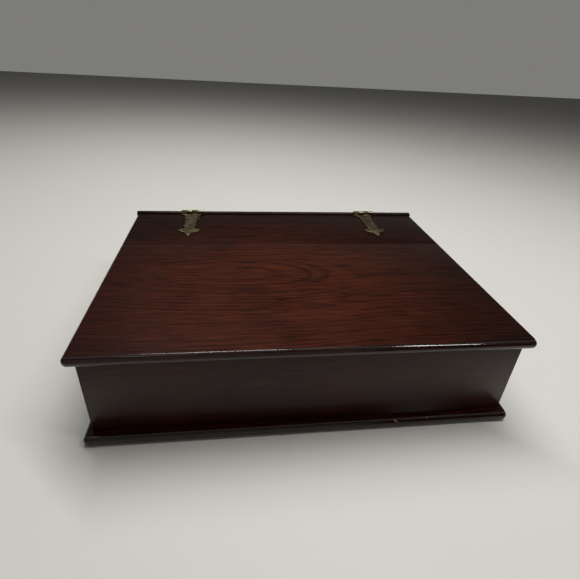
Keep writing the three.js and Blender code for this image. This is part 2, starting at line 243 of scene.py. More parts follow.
# Pin marks on the lid as (x, distance from its front), and chips on the base board as (x, z, half length).
MARK_SIZE = 0.9 * MM
PIN_MARKS = ((0.0491, 0.2075), (0.0848, 0.2103), (0.05, 0.117), (0.0857, 0.1171))
CHIPS = ((0.0861, 0.0085, 0.0034), (0.1186, 0.0098, 0.0012))
CHIP_HEIGHT = 0.7 * MM
CHIP_SLANT = 0.5


class Figure(NamedTuple):
    """How a board cuts its growth rings: where they close on the face, how far below the face their
    centre lies there and how fast it sinks along the board, and the width of a ring."""

    heart: tuple
    depth: float
    taper: float
    ring: float


def face_noise(g, along, across, scale, shift, seed, detail):
    """Slow noise on the board's face, drawn out along the grain."""
    stretched = g.times_plus(along, scale[0], shift)
    return g.noise(g.vector(stretched, g.times(across, scale[1]), seed), detail=detail)


def fibre_noise(g, axes, scale, detail, roughness=0.5):
    """Fine noise through the whole board, drawn out along the grain."""
    along, across, inward = axes
    narrow = scale[1]
    place = g.vector(g.times(along, scale[0]), g.times(across, narrow), g.times(inward, narrow))
    return g.noise(place, detail=detail, roughness=roughness)


def late_wood(g, axes, bent, figure, seed):
    """The dark part of each growth ring, from 0 to 1, fading in and out along the board."""
    along, across, inward = axes
    side = g.minus(bent, figure.heart[1] + (WAVE + RIPPLE) / 2)
    run = g.minus(along, figure.heart[0])
    reach = g.math("SMOOTH_MIN", g.times(run, run), REACH_LIMIT, REACH_EASE)
    deep = g.plus(g.times_plus(reach, figure.taper, figure.depth), g.times(inward, INWARD_SLOPE))
    radius = g.hypot(side, deep)
    uneven = g.noise(g.vector(g.times(radius, UNEVEN_SCALE), seed, 0.0), detail=1)
    turns = g.plus(g.over(radius, figure.ring), g.times(uneven, UNEVEN_TURNS))
    phase = g.math("FRACT", turns)
    late = g.times(g.span(phase, 0.35, 0.86), g.span(phase, 0.88, 1.0, 1.0, 0.0))
    fade = face_noise(g, along, across, FADE_SCALE, 0.0, seed + 3.0, 2)
    return g.times(late, g.span(fade, 0.3, 0.7, 0.25, 1.0))


def add_painted_light_pool(g, colour, split, cloud):
    """Painted shade: darkens the lid's colour away from the middle of a painted pool of light."""
    over_x, over_y = (g.over(g.minus(split[i], LIGHT_POOL_AT[i]), LIGHT_POOL_REACH) for i in (X, Y))
    far = g.sway(cloud, 0.8, g.hypot(over_x, over_y))
    shade = g.span(far, 0.25, 1.15, 1.0, LIGHT_POOL_LEAST)
    return g.blend(1.0, colour, g.vector(shade, shade, shade), "MULTIPLY")


def add_marks(g, colour, split):
    """Small round dark marks on the lid."""
    for x, away in PIN_MARKS:
        gone = g.hypot(g.minus(split[X], x), g.minus(split[Y], LID_FRONT_Y + away))
        spot = g.span(gone, 0.5 * MARK_SIZE, MARK_SIZE, 1.0, 0.0)
        colour = g.blend(g.times(spot, 0.9), colour, MARK_COLOUR)
    return colour


def add_chips(g, colour, split, fibre):
    """Bare slanting chips on the base board's front moulding, ragged along the fibres."""
    at_front = g.span(split[Y], BASE_FRONT_Y + 4 * MM, BASE_FRONT_Y + 5 * MM, 1.0, 0.0)
    for x, z, length in CHIPS:
        run = g.minus(split[X], x)
        slope = g.times_plus(run, CHIP_SLANT, g.minus(split[Z], z))
        off = g.plus(g.over(g.size(run), length), g.over(g.size(slope), CHIP_HEIGHT))
        off = g.sway(fibre, 1.5, off)
        scrape = g.times(g.span(off, 0.6, 1.2, 1.0, 0.0), at_front)
        colour = g.blend(scrape, colour, CHIP_COLOUR)
    return colour


def add_stain_and_shade_rim(g, colour, split, front_y, ripple):
    """A dark line along the face's front and ends: stain gathered at the edges, and painted shade along the
    moulding.
    """
    to_end = g.minus(HALF_WIDTH, g.size(split[X]))
    margin = g.math("MINIMUM", to_end, g.minus(split[Y], front_y))
    rim = g.span(g.sway(ripple, 2 * MM, margin), 1.2 * MM, 4.6 * MM, 1.0, 0.0)
    return g.blend(g.times(rim, 0.8), colour, STAIN_AND_SHADE_COLOUR)


def wood(
    name,
    grain,
    figure,
    seed,
    tone=1.0,
    rings=0.42,
    coat=0.26,
    polish=0.13,
    front_y=None,
    painted_light_pool=False,
    marks=False,
    chips=False,
):
    """Dark cherry under lacquer. rings is the rings' strength, and front_y asks for the dark rim of stain
    and painted shade.
    """
    g = Graph(name)
    place = g.node("ShaderNodeTexCoord").outputs["Object"]
    split = g.node("ShaderNodeSeparateXYZ", {0: place}).outputs
    along, across, inward = (split[i] for i in grain)
    wave = face_noise(g, along, across, WAVE_SCALE, seed, seed, 2)
    ripple = face_noise(g, along, across, RIPPLE_SCALE, seed, seed, 3)
    bent = g.times_plus(ripple, RIPPLE, g.times_plus(wave, WAVE, across))
    late = late_wood(g, (along, across, inward), bent, figure, seed)
    axes = (along, bent, inward)
    fibre = fibre_noise(g, axes, FIBRE_SCALE, 3, 0.62)
    streak = fibre_noise(g, axes, STREAK_SCALE, 3, 0.55)
    pore = g.times(g.span(fibre_noise(g, axes, PORE_SCALE, 2), 0.56, 0.7), 0.5)
    cloud = g.noise(place, scale=CLOUD_SCALE, detail=3, roughness=0.55)
    light = g.sway(cloud, 0.8, 0.52)
    light = g.sway(fibre, 2.1, light)
    light = g.sway(streak, 0.7, light)
    light = g.math("SUBTRACT", light, g.times(late, rings), clamp=True)
    colour = g.blend(light, rgb(*DARK_WOOD, tone), rgb(*BRIGHT_WOOD, tone))
    # Painted light: the lid's colour is painted brighter in a pool and darker away from it.
    if painted_light_pool:
        colour = add_painted_light_pool(g, colour, split, cloud)
    colour = g.blend(g.times(pore, 0.7), colour, PORE_COLOUR)
    if marks:
        colour = add_marks(g, colour, split)
    if chips:
        colour = add_chips(g, colour, split, fibre)
    # Dark rim: stain at the edges and painted shade along the moulding.
    if front_y is not None:
        colour = add_stain_and_shade_rim(g, colour, split, front_y, ripple)
    grain_height = g.minus(g.times(fibre, 0.35), g.plus(pore, g.times(late, 0.2)))
    peel = g.noise(place, scale=PEEL_SCALE, detail=1)
    coat_height = g.times_plus(grain_height, 0.25, g.times(peel, 0.5))
    worn = g.noise(place, scale=WORN_SCALE, detail=4, roughness=0.65)
    return g.shade({
        "Base Color": colour,
        "Roughness": g.span(worn, 0.3, 0.75, 0.34, 0.5),
        "IOR": 1.5,
        "Specular IOR Level": 0.06,
        "Coat Weight": coat,
        "Coat Roughness": polish,
        "Coat IOR": 1.5,
        "Normal": g.bump(grain_height, 0.12 * MM, 0.5),
        "Coat Normal": g.bump(coat_height, 0.04 * MM, 0.35),
    })


# ---------------------------------------------------------------- brass

TARNISH_SCALE = 110.0
SPECK_SCALE = 900.0
DENT_SCALE = 240.0
# Bright brass of rubbed plate edges, and of the painted highlight on knuckle tops.
WEAR_AND_HIGHLIGHT_COLOUR = rgb(0.42, 0.34, 0.2)

# Bright, dull and dark colour of the straps, and of the screws and pins.
STRAP_BRASS = (rgb(0.175, 0.137, 0.076), rgb(0.095, 0.074, 0.042), rgb(0.022, 0.018, 0.012))
SCREW_BRASS = (rgb(0.06, 0.046, 0.03), rgb(0.03, 0.024, 0.016), rgb(0.01, 0.008, 0.006))


def brass(name, colours, gloss, seed):
    """Antique brass, tarnished in clouds and dark in the pits. Its face attribute edge is 1 where it is
    painted
    bright: rubbed wear on the plate's eased edges, and a painted highlight on the knuckle tops. Its other
    face attribute is 1 where it is painted darkest: tarnished knuckles, partly painted shade."""
    bright, dull, dark = colours
    g = Graph(name)
    place = g.node("ShaderNodeTexCoord").outputs["Object"]
    moved = g.node("ShaderNodeVectorMath", {0: place, 1: (seed, seed, seed)}, operation="ADD").outputs[0]
    edge = g.node("ShaderNodeAttribute", attribute_name="edge").outputs["Fac"]
    tarnish_and_shade = g.node("ShaderNodeAttribute", attribute_name="tarnish_and_shade").outputs["Fac"]
    cloud = g.noise(moved, scale=TARNISH_SCALE, detail=5, roughness=0.62)
    speck = g.noise(moved, scale=SPECK_SCALE, detail=3, roughness=0.6)
    colour = g.blend(g.span(cloud, 0.34, 0.66), dull, bright)
    colour = g.blend(g.times(g.span(speck, 0.56, 0.72), 0.6), colour, dark)
    # Painted darker on the knuckles: tarnished brass, partly painted shade.
    colour = g.blend(g.times(tarnish_and_shade, g.span(cloud, 0.3, 0.7, 0.9, 0.6)), colour, dark)
    # Painted bright: rubbed wear on the plate's edges, and a painted highlight on the knuckle tops.
    wear_and_highlight = g.times(edge, g.span(cloud, 0.3, 0.6, 0.45, 1.0))
    colour = g.blend(wear_and_highlight, colour, WEAR_AND_HIGHLIGHT_COLOUR)
    rough = g.minus(g.sway(cloud, 0.35, gloss), g.times(wear_and_highlight, 0.12))
    dents = g.noise(moved, scale=DENT_SCALE, detail=2)
    return g.shade({
        "Base Color": colour,
        "Metallic": 1.0,
        "Roughness": rough,
        "Normal": g.bump(g.plus(dents, g.times(speck, 0.3)), 0.3 * MM, 0.35),
    })


# ---------------------------------------------------------------- mesh tools

SMOOTH_ANGLE = math.radians(28)
LEAF_SMOOTH = math.radians(30)
SCREW_SMOOTH = math.radians(35)
THREAD_SMOOTH = math.radians(40)
ROUND_SMOOTH = math.radians(50)
WELD = 0.001 * MM
CUT_SLACK = 0.0001 * MM


def link_mesh(name, bm, smooth_angle=SMOOTH_ANGLE):
    """Turns a bmesh into an object, smooth except where two faces meet at more than the angle."""
    bmesh.ops.recalc_face_normals(bm, faces=bm.faces)
    for face in bm.faces:
        face.smooth = True
    for edge in bm.edges:
        if len(edge.link_faces) == 2 and edge.calc_face_angle(0) > smooth_angle:
            edge.smooth = False
    mesh = bpy.data.meshes.new(name)
    bm.to_mesh(mesh)
    bm.free()
    obj = bpy.data.objects.new(name, mesh)
    SCENE.collection.objects.link(obj)
    return obj


def carve(obj, tool, operation):
    """Applies one exact boolean and removes the tool."""
    modifier = obj.modifiers.new("carve", "BOOLEAN")
    modifier.object = tool
    modifier.operation = operation
    modifier.solver = "EXACT"
    bpy.context.view_layer.update()
    shaped = bpy.data.meshes.new_from_object(obj.evaluated_get(bpy.context.evaluated_depsgraph_get()))
    obj.modifiers.clear()
    old = obj.data
    obj.data = shaped
    shaped.name = old.name
    bpy.data.meshes.remove(old)
    bpy.data.objects.remove(tool)
    return obj


def resharpen(obj, smooth_angle=SMOOTH_ANGLE):
    """Welds what a boolean left apart, and marks the sharp edges again."""
    bm = bmesh.new()
    bm.from_mesh(obj.data)
    bmesh.ops.remove_doubles(bm, verts=bm.verts, dist=WELD)
    bmesh.ops.dissolve_degenerate(bm, edges=bm.edges, dist=WELD)
    for face in bm.faces:
        face.smooth = True
    for edge in bm.edges:
        edge.smooth = not (len(edge.link_faces) == 2 and edge.calc_face_angle(0) > smooth_angle)
    bm.to_mesh(obj.data)
    bm.free()
    return obj


def finish_piece(obj, material, body, slot, *nodes):
    obj.data.materials.clear()
    obj.data.materials.append(material)
    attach(obj, body)
    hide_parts(*nodes)
    return obj


def soften(bm, edges, radius):
    """Rounds the edges, and returns the new faces."""
    return bmesh.ops.bevel(
        bm,
        geom=edges,
        offset=radius,
        offset_type="OFFSET",
        segments=2,
        profile=0.5,
        affect="EDGES",
        clamp_overlap=True,
    )["faces"]


def skin(bm, rings):
    """Joins closed rings of the same number of points, one to the next."""
    count = len(rings[0])
    for a, b in zip(rings, rings[1:]):
        for i in range(count):
            j = (i + 1) % count
            bm.faces.new((a[i], a[j], b[j], b[i]))


def cap(bm, rings):
    bm.faces.new(rings[0][::-1])
    bm.faces.new(rings[-1])


# ---------------------------------------------------------------- moulded boards

NOSE_STEP = 0.8 * MM
NOSE_FLAT = 0.1 * MM
LAND_INSET = 2.6 * MM
LAND_FILLET = 0.05 * MM
LAND_LEAN = 0.02 * MM
FACE_RUN = 2 * MM
CORNER_RADIUS = 5.4 * MM
CORNER_LEAST = 0.4 * MM
ARRIS = 0.6 * MM
FOOT_ARRIS = 0.2 * MM
NOSE_STEPS = 12
CORNER_STEPS = 10
ARRIS_STEPS = 3
ROUND_STEPS = 6
FOOT_STEPS = 2
SAW_OVERRUN = 1.2


def outline(inset, y_low, y_high):
    """A rounded rectangle round the case's middle, as (x, y) points, counter-clockwise."""
    radius = max(CORNER_RADIUS - inset, CORNER_LEAST)
    x = HALF_WIDTH - inset - radius
    low = y_low + inset + radius
    high = y_high - inset - radius
    centres = ((x, low, -0.5), (x, high, 0.0), (-x, high, 0.5), (-x, low, 1.0))
    points = []
    for cx, cy, start in centres:
        for i in range(CORNER_STEPS + 1):
            angle = math.pi * (start + 0.5 * i / CORNER_STEPS)
            points.append((cx + radius * math.cos(angle), cy + radius * math.sin(angle)))
    return points


def nose_profile(thickness):
    """(inset, height) from the underside to the top face: bullnose, small step, softened arris."""
    nose = (thickness - NOSE_STEP - NOSE_FLAT) / 2
    profile = [(nose + FACE_RUN, 0.0)]
    for i in range(NOSE_STEPS + 1):
        angle = QUARTER * i / NOSE_STEPS
        profile.append((nose - nose * math.sin(angle), nose - nose * math.cos(angle)))
    stop = QUARTER - math.asin(1 - LAND_INSET / nose)
    for i in range(NOSE_STEPS + 1):
        angle = stop * i / NOSE_STEPS
        profile.append((nose - nose * math.cos(angle), nose + NOSE_FLAT + nose * math.sin(angle)))
    foot = nose + NOSE_FLAT + nose * math.sin(stop)
    profile.append((LAND_INSET + LAND_LEAN, foot + LAND_FILLET))
    for i in range(ARRIS_STEPS + 1):
        angle = QUARTER * i / ARRIS_STEPS
        inset = LAND_INSET + LAND_FILLET + ARRIS - ARRIS * math.cos(angle)
        profile.append((inset, thickness - ARRIS + ARRIS * math.sin(angle)))
    profile.append((LAND_INSET + FACE_RUN, thickness))
    return profile


def moulded_blank(name, front_y, bottom, thickness):
    """A board with the moulding all round, running past the case's back."""
    bm = bmesh.new()
    rings = []
    for inset, height in nose_profile(thickness):
        loop = outline(inset, front_y, BACK_Y + 2 * CORNER_RADIUS)
        rings.append([bm.verts.new((x, y, bottom + height)) for x, y in loop])
    skin(bm, rings)
    cap(bm, rings)
    return link_mesh(name, bm)


def swept_profile(name, profile, half_width):
    """A closed (y, z) profile swept along X."""
    bm = bmesh.new()
    rings = [[bm.verts.new((x, y, z)) for y, z in profile] for x in (-half_width, half_width)]
    skin(bm, rings)
    cap(bm, rings)
    return link_mesh(name, bm)


def arc(cy, cz, radius, start, stop, steps=ROUND_STEPS):
    """Points on a round in the Y-Z plane, with its angles in quarter turns from +Y."""
    points = []
    for i in range(steps + 1):
        angle = QUARTER * (start + (stop - start) * i / steps)
        points.append((cy + radius * math.cos(angle), cz + radius * math.sin(angle)))
    return points


def sawn_slab(low_y, high_y, low_z, high_z, front_arris, back_arris):
    """The (y, z) section that a board is cut to, with its arrises rounded."""
    section = arc(low_y + FOOT_ARRIS, low_z + FOOT_ARRIS, FOOT_ARRIS, 2, 3, FOOT_STEPS)
    section += arc(high_y - FOOT_ARRIS, low_z + FOOT_ARRIS, FOOT_ARRIS, 3, 4, FOOT_STEPS)
    section += arc(high_y - back_arris, high_z - back_arris, back_arris, 0, 1)
    section += arc(low_y + front_arris, high_z - front_arris, front_arris, 1, 2)
    return section


def moulded_board(name, node, front_y, arrises, material, edge_material, body, slot):
    """A sawn board with front_y at its moulding's front, and the edge material on the moulding."""
    low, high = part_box(node)
    board = moulded_blank(name, front_y, low.z, high.z - low.z)
    section = sawn_slab(low.y, high.y, low.z, high.z, *arrises)
    tool = swept_profile(name + "_saw", section, HALF_WIDTH * SAW_OVERRUN)
    board = finish_piece(resharpen(carve(board, tool, "INTERSECT")), material, body, slot, node)
    board.data.materials.append(edge_material)
    for face in board.data.polygons:
        inset = min(HALF_WIDTH - abs(face.center.x), face.center.y - front_y)
        face.material_index = int(inset < LAND_INSET + ARRIS)
    return board


# ---------------------------------------------------------------- rail

RAIL_FRONT_ARRIS = 2.4 * MM
RAIL_BACK_ARRIS = 5.4 * MM
RAIL_END_ARRIS = 0.8 * MM
RAIL_END_STEPS = 5
RAIL_END_FRONT = 0.3
RAIL_END_BACK = 0.5
BARREL_RELIEF = 0.25 * MM
RELIEF_SEGMENTS = 64


def hinge_rail(name, node, material):
    """The fixed rail: a rounded strip with eased square ends, hollowed under each hinge barrel."""
    low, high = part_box(node)
    bm = bmesh.new()
    turns = [QUARTER * i / RAIL_END_STEPS for i in range(RAIL_END_STEPS + 1)]
    rings = []
    for side, turn in [(-1, turn) for turn in turns] + [(1, turn) for turn in turns[::-1]]:
        inset = RAIL_END_ARRIS * (1 - math.sin(turn))
        x = side * (high.x - RAIL_END_ARRIS * (1 - math.cos(turn)))
        front = low.y + RAIL_END_FRONT * inset
        back = high.y - RAIL_END_BACK * inset
        section = sawn_slab(front, back, low.z, high.z - inset, RAIL_FRONT_ARRIS, RAIL_BACK_ARRIS)
        rings.append([bm.verts.new((x, y, z)) for y, z in section])
    skin(bm, rings)
    cap(bm, rings)
    obj = link_mesh(name, bm)
    for side in ("left", "right"):
        carve(obj, barrel_hollow(name + "_relief", f"{side}_hinge_pin"), "DIFFERENCE")
    return finish_piece(resharpen(obj), material, "case", "lid_wood", node)


def barrel_hollow(name, pin_node):
    """A cylinder round the pin, a little larger than the barrel."""
    low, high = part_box(pin_node)
    radius = BARREL + BARREL_RELIEF
    tool = bmesh.new()
    bmesh.ops.create_cone(
        tool,
        cap_ends=True,
        segments=RELIEF_SEGMENTS,
        radius1=radius,
        radius2=radius,
        depth=high.x - low.x + 2 * BARREL_RELIEF,
    )
    seat = Matrix.Translation((low + high) / 2) @ Matrix.Rotation(QUARTER, 4, "Y")
    bmesh.ops.transform(tool, matrix=seat, verts=tool.verts)
    return link_mesh(name, tool)


# ---------------------------------------------------------------- walls

WALL_ARRIS = 0.25 * MM


def panel(name, node, corners, material):
    """A mitred wall: a plan trapezium raised between the node's heights, with every arris eased."""
    low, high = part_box(node)
    bm = bmesh.new()
    rings = [[bm.verts.new((x, y, z)) for x, y in corners] for z in (low.z, high.z)]
    skin(bm, rings)
    cap(bm, rings)
    bmesh.ops.recalc_face_normals(bm, faces=bm.faces)
    soften(bm, list(bm.edges), WALL_ARRIS)
    obj = link_mesh(name, bm, ROUND_SMOOTH)
    return finish_piece(obj, material, "case", "case_wood", node)


# ---------------------------------------------------------------- hinge leaves

LEAF = 1.4 * MM
BARREL = 3.0 * MM
BORE = 1.25 * MM
BARREL_LENGTH = 30.4 * MM
KNUCKLES = 4
KNUCKLE_GAP = 0.3 * MM
KNUCKLE_EASE = 0.25 * MM
KNUCKLE_EASE_STEPS = 3
LEAF_EASE = 0.42 * MM
OUTLINE_STEPS = 7

# The rear leaf is bent over the rail, with this radius inside the bend.
BEND_INNER = 5.2 * MM
BEND_STEPS = 8
BEND_LENGTH = QUARTER * (BEND_INNER + LEAF / 2)

# How far each leaf is cut back at the other's knuckles, and the fillet at its own.
LID_NOTCH = 3.6 * MM
BACK_NOTCH = 4.5 * MM
LID_FILLET = 1.1 * MM
BACK_FILLET = 0.5 * MM

# Share of each leaf's knuckle tops painted with a highlight, above this height, and how far its knuckles
# are painted darker: tarnished brass, partly painted shade.
LID_KNUCKLE_LIGHT_AND_SHADE = (0.0, 0.8)
BACK_KNUCKLE_LIGHT_AND_SHADE = (0.7, 0.5)
HIGHLIGHT_ABOVE = 0.55 * BARREL

# A knuckle's strap starts under the pin, leaves the round on the plate's side and comes down a ramp.
ROLL_START = math.radians(285)
ROLL_END = math.radians(30)
ROLL_STEPS = 28
RAMP = math.radians(60)
FILLET_STEPS = 6
ROLL_REACH = 1.02 * BARREL
FOOT_RUN = 0.4 * MM
FOOT_SINK = 0.05 * MM

# Countersunk hole: radius at the wood and at the top, height of the cone and how far its middle is sunk.
HOLE_FOOT = 1.3 * MM
HOLE_MOUTH = 2.95 * MM
HOLE_HEIGHT = 1.8 * MM
HOLE_SINK = 0.55 * MM
ROUND_SEGMENTS = 32

# Half width and distance from the axis, in millimetres. Each row ends a straight line or a Bezier curve
# that starts at the last point of the row before.
LEAF_OUTLINE = (
    ((15.05, 0.0),),
    ((15.05, 1.5),),
    ((12.45, 5.0), (9.4, 8.5), (8.5, 14.0)),
    ((8.5, 19.0),),
    ((7.0, 41.0),),
    ((7.0, 45.3), (8.8, 48.3)),
    ((6.9, 49.8), (6.3, 51.6)),
    ((5.5, 53.6), (6.3, 55.4)),
    ((8.8, 57.6), (14.1, 60.2)),
    ((13.9, 64.6), (11.4, 69.4), (6.0, 69.8)),
    ((4.1, 71.4), (2.8, 77.6), (0.0, 83.6)),
)


def bezier(points, steps):
    """The curve's points after its first, by de Casteljau's construction."""
    found = []
    for i in range(1, steps + 1):
        t = i / steps
        row = [Vector(p) for p in points]
        while len(row) > 1:
            row = [a.lerp(b, t) for a, b in zip(row, row[1:])]
        found.append(row[0])
    return found


def half_outline():
    path = [Vector(LEAF_OUTLINE[0][0])]
    for piece in LEAF_OUTLINE[1:]:
        path += bezier([path[-1], *piece], 1 if len(piece) == 1 else OUTLINE_STEPS)
    return [p * MM for p in path]


def half_width_at(half, distance):
    for a, b in zip(half, half[1:]):
        if a.y <= distance <= b.y and b.y > a.y:
            return a.x + (b.x - a.x) * (distance - a.y) / (b.y - a.y)
    return half[0].x


def knuckle_spans():
    pitch = BARREL_LENGTH / KNUCKLES
    lows = [-BARREL_LENGTH / 2 + i * pitch for i in range(KNUCKLES)]
    return [(low + KNUCKLE_GAP / 2, low + pitch - KNUCKLE_GAP / 2) for low in lows]


def root_edge(own, foot, notch):
    """The leaf's edge at the barrel, left to right: out to foot at its own knuckles, cut back to notch
    at the others."""
    points = []
    for i, (low, high) in enumerate(knuckle_spans()):
        if i in own:
            points += [(low, foot), (high, foot)]
        else:
            left = low - KNUCKLE_GAP if i else low
            right = high + KNUCKLE_GAP if i < KNUCKLES - 1 else high
            points += [(left, notch), (right, notch)]
    return points


def leaf_plate(own, foot, notch):
    """The flat plate in leaf space: x across, y the distance from the axis, z the height above the wood."""
    half = half_outline()
    root = root_edge(own, foot, notch)
    start, stop = root[0][1], root[-1][1]
    left_side = [(-p.x, p.y) for p in half if p.y > start]
    right_side = [(p.x, p.y) for p in half if p.y > stop]
    root[0] = (-half_width_at(half, start), start)
    root[-1] = (half_width_at(half, stop), stop)
    loop = root + right_side[:-1] + left_side[::-1]
    bm = bmesh.new()
    wear_and_highlight = bm.faces.layers.float.new("edge")
    bm.faces.layers.float.new("tarnish_and_shade")
    face = bm.faces.new([bm.verts.new((x, y, 0.0)) for x, y in loop])
    raised = bmesh.ops.extrude_face_region(bm, geom=[face])
    top = [v for v in raised["geom"] if isinstance(v, bmesh.types.BMVert)]
    bmesh.ops.translate(bm, verts=top, vec=(0, 0, LEAF))
    bmesh.ops.recalc_face_normals(bm, faces=bm.faces)
    rim = []
    for edge in bm.edges:
        on_top = all(v.co.z > LEAF / 2 for v in edge.verts)
        at_foot = all(abs(v.co.y - foot) < WELD for v in edge.verts)
        if on_top and not at_foot:
            rim.append(edge)
    for eased in soften(bm, rim, LEAF_EASE):
        eased[wear_and_highlight] = 1.0
    return bm


def rolled(radius, centre, level, fillet):
    """One face of the rolled strap, from its free end over the pin and down a fillet to the level."""
    points = []
    for i in range(ROLL_STEPS + 1):
        angle = ROLL_START + (ROLL_END - ROLL_START) * i / ROLL_STEPS
        points.append((radius * math.cos(angle), centre + radius * math.sin(angle)))
    away, height = points[-1]
    drop = height - level - fillet * (1 - math.cos(RAMP))
    away += drop / math.tan(RAMP)
    height -= drop
    for i in range(FILLET_STEPS + 1):
        angle = RAMP * (1 - i / FILLET_STEPS)
        turn_away = fillet * (math.sin(RAMP) - math.sin(angle))
        turn_height = fillet * (math.cos(angle) - math.cos(RAMP))
        points.append((away + turn_away, height - turn_height))
    return points


def eased_stations(low, high):
    """(x, how much the strap's outer face shrinks there) from one cut end of a knuckle to the other."""
    stations = []
    for i in range(KNUCKLE_EASE_STEPS + 1):
        turn = QUARTER * i / KNUCKLE_EASE_STEPS
        stations.append((low + KNUCKLE_EASE * (1 - math.cos(turn)), KNUCKLE_EASE * (1 - math.sin(turn))))
    return stations + [(low + high - x, shrink) for x, shrink in stations[::-1]]


def add_knuckle(bm, span, centre, fillet, light_and_shade):
    """A strap rolled over the pin from the plate and back under it, with the cut ends eased."""
    wear_and_highlight = bm.faces.layers.float.get("edge")
    tarnish_and_shade = bm.faces.layers.float.get("tarnish_and_shade")
    outer = rolled(BARREL, centre, LEAF, fillet)
    inner = rolled(BORE, centre, 0.0, fillet + LEAF)
    foot = outer[-1][0] + FOOT_RUN
    outer.append((foot, LEAF - FOOT_SINK))
    inner.append((foot, FOOT_SINK))
    rings = []
    for x, shrink in eased_stations(*span):
        ring = []
        for y, z in outer:
            reach = math.hypot(y, z - centre)
            keep = 1 - shrink / reach if reach < ROLL_REACH else 1 - 0.5 * shrink / reach
            ring.append(bm.verts.new((x, y * keep, centre + (z - centre) * keep)))
        ring += [bm.verts.new((x, y, z)) for y, z in reversed(inner)]
        rings.append(ring)
    count = len(rings[0])
    wall = len(outer)
    for a, b in zip(rings, rings[1:]):
        for i in range(count):
            j = (i + 1) % count
            made = bm.faces.new((a[i], a[j], b[j], b[i]))
            # Painted highlight on the knuckle's upper outer faces, and the whole knuckle painted darker:
            # tarnished brass, partly painted shade.
            top = i < wall and outer[i][1] > centre + HIGHLIGHT_ABOVE
            made[wear_and_highlight] = light_and_shade[0] if top else 0.0
            made[tarnish_and_shade] = light_and_shade[1]
    for ring, turn in ((rings[0], 1), (rings[-1], -1)):
        for i in range(wall - 1):
            quad = (ring[i], ring[i + 1], ring[count - 2 - i], ring[count - 1 - i])
            bm.faces.new(quad[::turn])


def drill(obj, distance):
    """A countersunk hole through the flat plate."""
    bm = bmesh.new()
    bmesh.ops.create_cone(
        bm,
        cap_ends=True,
        segments=ROUND_SEGMENTS,
        radius1=HOLE_FOOT,
        radius2=HOLE_MOUTH,
        depth=HOLE_HEIGHT,
    )
    bmesh.ops.translate(bm, verts=bm.verts, vec=(0, distance, LEAF - HOLE_SINK))
    carve(obj, link_mesh(obj.name + "_hole", bm), "DIFFERENCE")


def lid_seat(middle, place):
    """From leaf space to the lid's top, in front of the axis."""
    x, away, height = place
    return (middle + x, HINGE_Y - away, LID_TOP + height)


def back_seat(middle, place):
    """From leaf space over the rail, round its back edge and down the back panel."""
    x, away, height = place
    top = LID_TOP + RISE
    past = away - (BACK_Y - HINGE_Y - BEND_INNER)
    if past <= 0:
        return (middle + x, HINGE_Y + away, top + height)
    if past >= BEND_LENGTH:
        return (middle + x, BACK_Y + height, top - BEND_INNER - (past - BEND_LENGTH))
    angle = QUARTER * past / BEND_LENGTH
    radius = BEND_INNER + height
    y = BACK_Y - BEND_INNER + radius * math.sin(angle)
    return (middle + x, y, top - BEND_INNER + radius * math.cos(angle))


def leaf_piece(name, side, own, bent, body, holes, material, node):
    """One strap, made flat with its holes and knuckles and then laid on the lid or bent over the rail."""
    middle = middle_of(f"{side}_hinge_pin", X)
    centre = AXIS_Z - LID_TOP - (RISE if bent else 0.0)
    fillet = BACK_FILLET if bent else LID_FILLET
    foot = rolled(BARREL, centre, LEAF, fillet)[-1][0]
    plate = leaf_plate(own, foot, BACK_NOTCH if bent else LID_NOTCH)
    if bent:
        for i in range(BEND_STEPS + 1):
            station = BACK_Y - HINGE_Y - BEND_INNER + BEND_LENGTH * i / BEND_STEPS
            cut = [*plate.verts, *plate.edges, *plate.faces]
            at = (0, station, 0)
            bmesh.ops.bisect_plane(plate, geom=cut, plane_co=at, plane_no=(0, 1, 0), dist=CUT_SLACK)
    obj = link_mesh(name, plate)
    for distance in holes:
        drill(obj, distance)
    bm = bmesh.new()
    bm.from_mesh(obj.data)
    for i in own:
        add_knuckle(bm, knuckle_spans()[i], centre, fillet, BACK_KNUCKLE_LIGHT_AND_SHADE if bent else LID_KNUCKLE_LIGHT_AND_SHADE)
    seat = back_seat if bent else lid_seat
    for vert in bm.verts:
        vert.co = seat(middle, vert.co)
    bmesh.ops.recalc_face_normals(bm, faces=bm.faces)
    bm.to_mesh(obj.data)
    bm.free()
    return finish_piece(resharpen(obj, LEAF_SMOOTH), material, body, "hinge_brass", node)


# ---------------------------------------------------------------- screws and pins

SCREW_HEAD = 2.5 * MM
SCREW_DOME = 0.6 * MM
SCREW_RIM = 0.05 * MM
DOME_STEPS = 8
THREAD_TURNS = 10
THREAD_START = -7.2 * MM
THREAD_PITCH = 0.55 * MM
THREAD_FLANK = 0.2 * MM
THREAD_ROOT = 0.85 * MM
THREAD_CREST = 1.2 * MM
SLOT_SIZE = (8 * MM, 0.7 * MM, 1.0 * MM)
SLOT_HEIGHT = 0.62 * MM

# (radius, height) of the screw's point, and of its shank and countersink up to the head's rim.
SCREW_POINT = ((0, -8.2 * MM), (0.5 * MM, -7.9 * MM))
SCREW_NECK = ((1.15 * MM, -1.2 * MM), (SCREW_HEAD - 0.12 * MM, -0.06 * MM), (SCREW_HEAD, 0.03 * MM))

# (radius, distance from the end) on a pin's domed end, as shares of its radius.
PIN_END = ((0.55, 0.12), (0.85, 0.3), (1.0, 0.6))


